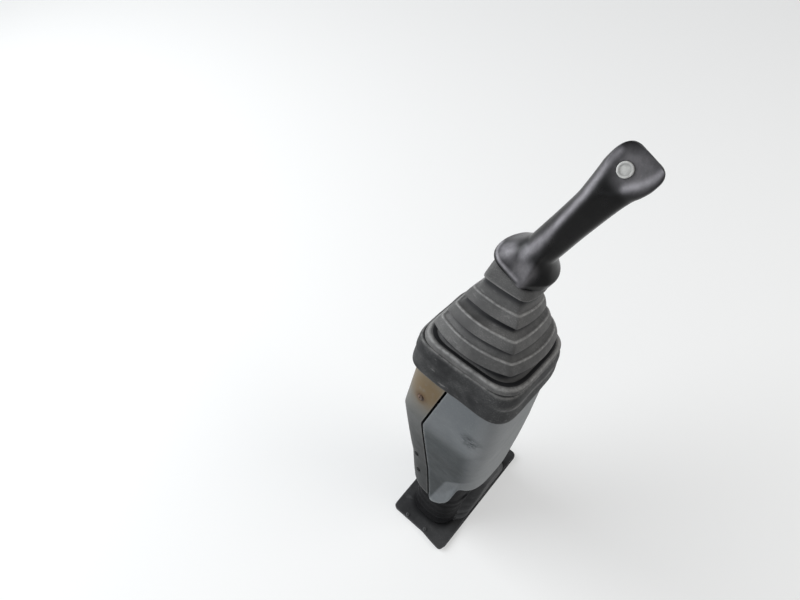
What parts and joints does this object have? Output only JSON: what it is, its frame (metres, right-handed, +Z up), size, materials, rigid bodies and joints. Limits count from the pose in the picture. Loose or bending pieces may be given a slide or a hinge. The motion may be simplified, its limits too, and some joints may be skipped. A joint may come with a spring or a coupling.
{
  "type": "backhoe joystick control tower",
  "caption": "Backhoe pilot joystick with a button grip and stepped rubber bellows on a leaning, shell-clad pedestal that tilts on a floor plate.",
  "frame": {"origin": "centre of the base plate's underside, on the cab floor", "axes": "+X to the operator's right, +Y away from the operator, +Z up"},
  "size_m": [0.1663, 0.2719, 0.7473],
  "materials": {
    "steel_black": "satin black paint",
    "steel_bright": "zinc plated",
    "cast_valve": "phosphated",
    "boot_rubber": "matte, dusty",
    "foot_rubber": "matte",
    "grip_plastic": "satin",
    "button_plastic": "worn grey",
    "shell_grey": "textured grey-green",
    "shell_beige": "textured, aged, stained",
    "rusty_steel": "rusty"
  },
  "bodies": {
    "base": {"base_plate": "steel_black", "pivot_bracket": "steel_black", "pivot_pin": "steel_bright", "foot_boot": "foot_rubber", "foot_flange": "foot_rubber", "flange_screws": "steel_bright"},
    "tower": {"post": "steel_black", "spacers": "steel_bright", "carrier_plate": "steel_bright", "pilot_valve": "cast_valve", "lower_yoke": "steel_bright", "bellows_skirt": "boot_rubber", "bellows_lower": "boot_rubber", "front_shell": "shell_grey", "rear_shell": "shell_beige", "shell_screws": "rusty_steel"},
    "gimbal": {"cross": "steel_bright", "bellows_upper": "boot_rubber"},
    "lever": {"disc_yoke": "steel_bright", "jam_nut": "steel_bright", "lever_rod": "steel_bright", "bellows_neck": "boot_rubber", "grip": "grip_plastic"},
    "button": {"thumb_button": "button_plastic"}
  },
  "joints": [
    {"name": "tower_tilt", "type": "hinge", "parent": "base", "child": "tower", "pos_m": [0, -0.038, 0.06], "axis": [-1, 0, 0], "range_deg": [-8, 14], "deforming": ["foot_boot"]},
    {"name": "stick_fore_aft", "type": "hinge", "parent": "tower", "child": "gimbal", "pos_m": [0, 0.0727, 0.44604], "axis": [-1, 0, 0], "range_deg": [-18, 18], "stiffness_Nm_per_rad": 8, "springref_deg": -1.15, "deforming": ["bellows_lower"]},
    {"name": "stick_side", "type": "hinge", "parent": "gimbal", "child": "lever", "pos_m": [0, 0.0727, 0.44604], "axis": [0, 0.9613, -0.2756], "range_deg": [-18, 18], "stiffness_Nm_per_rad": 8, "springref_deg": -0.57, "deforming": ["bellows_upper"]},
    {"name": "button_press", "type": "slide", "parent": "lever", "child": "button", "axis": [-0.1816, 0.7168, -0.6732], "range_m": [0, 0.0025], "stiffness_N_per_m": 400}
  ]
}
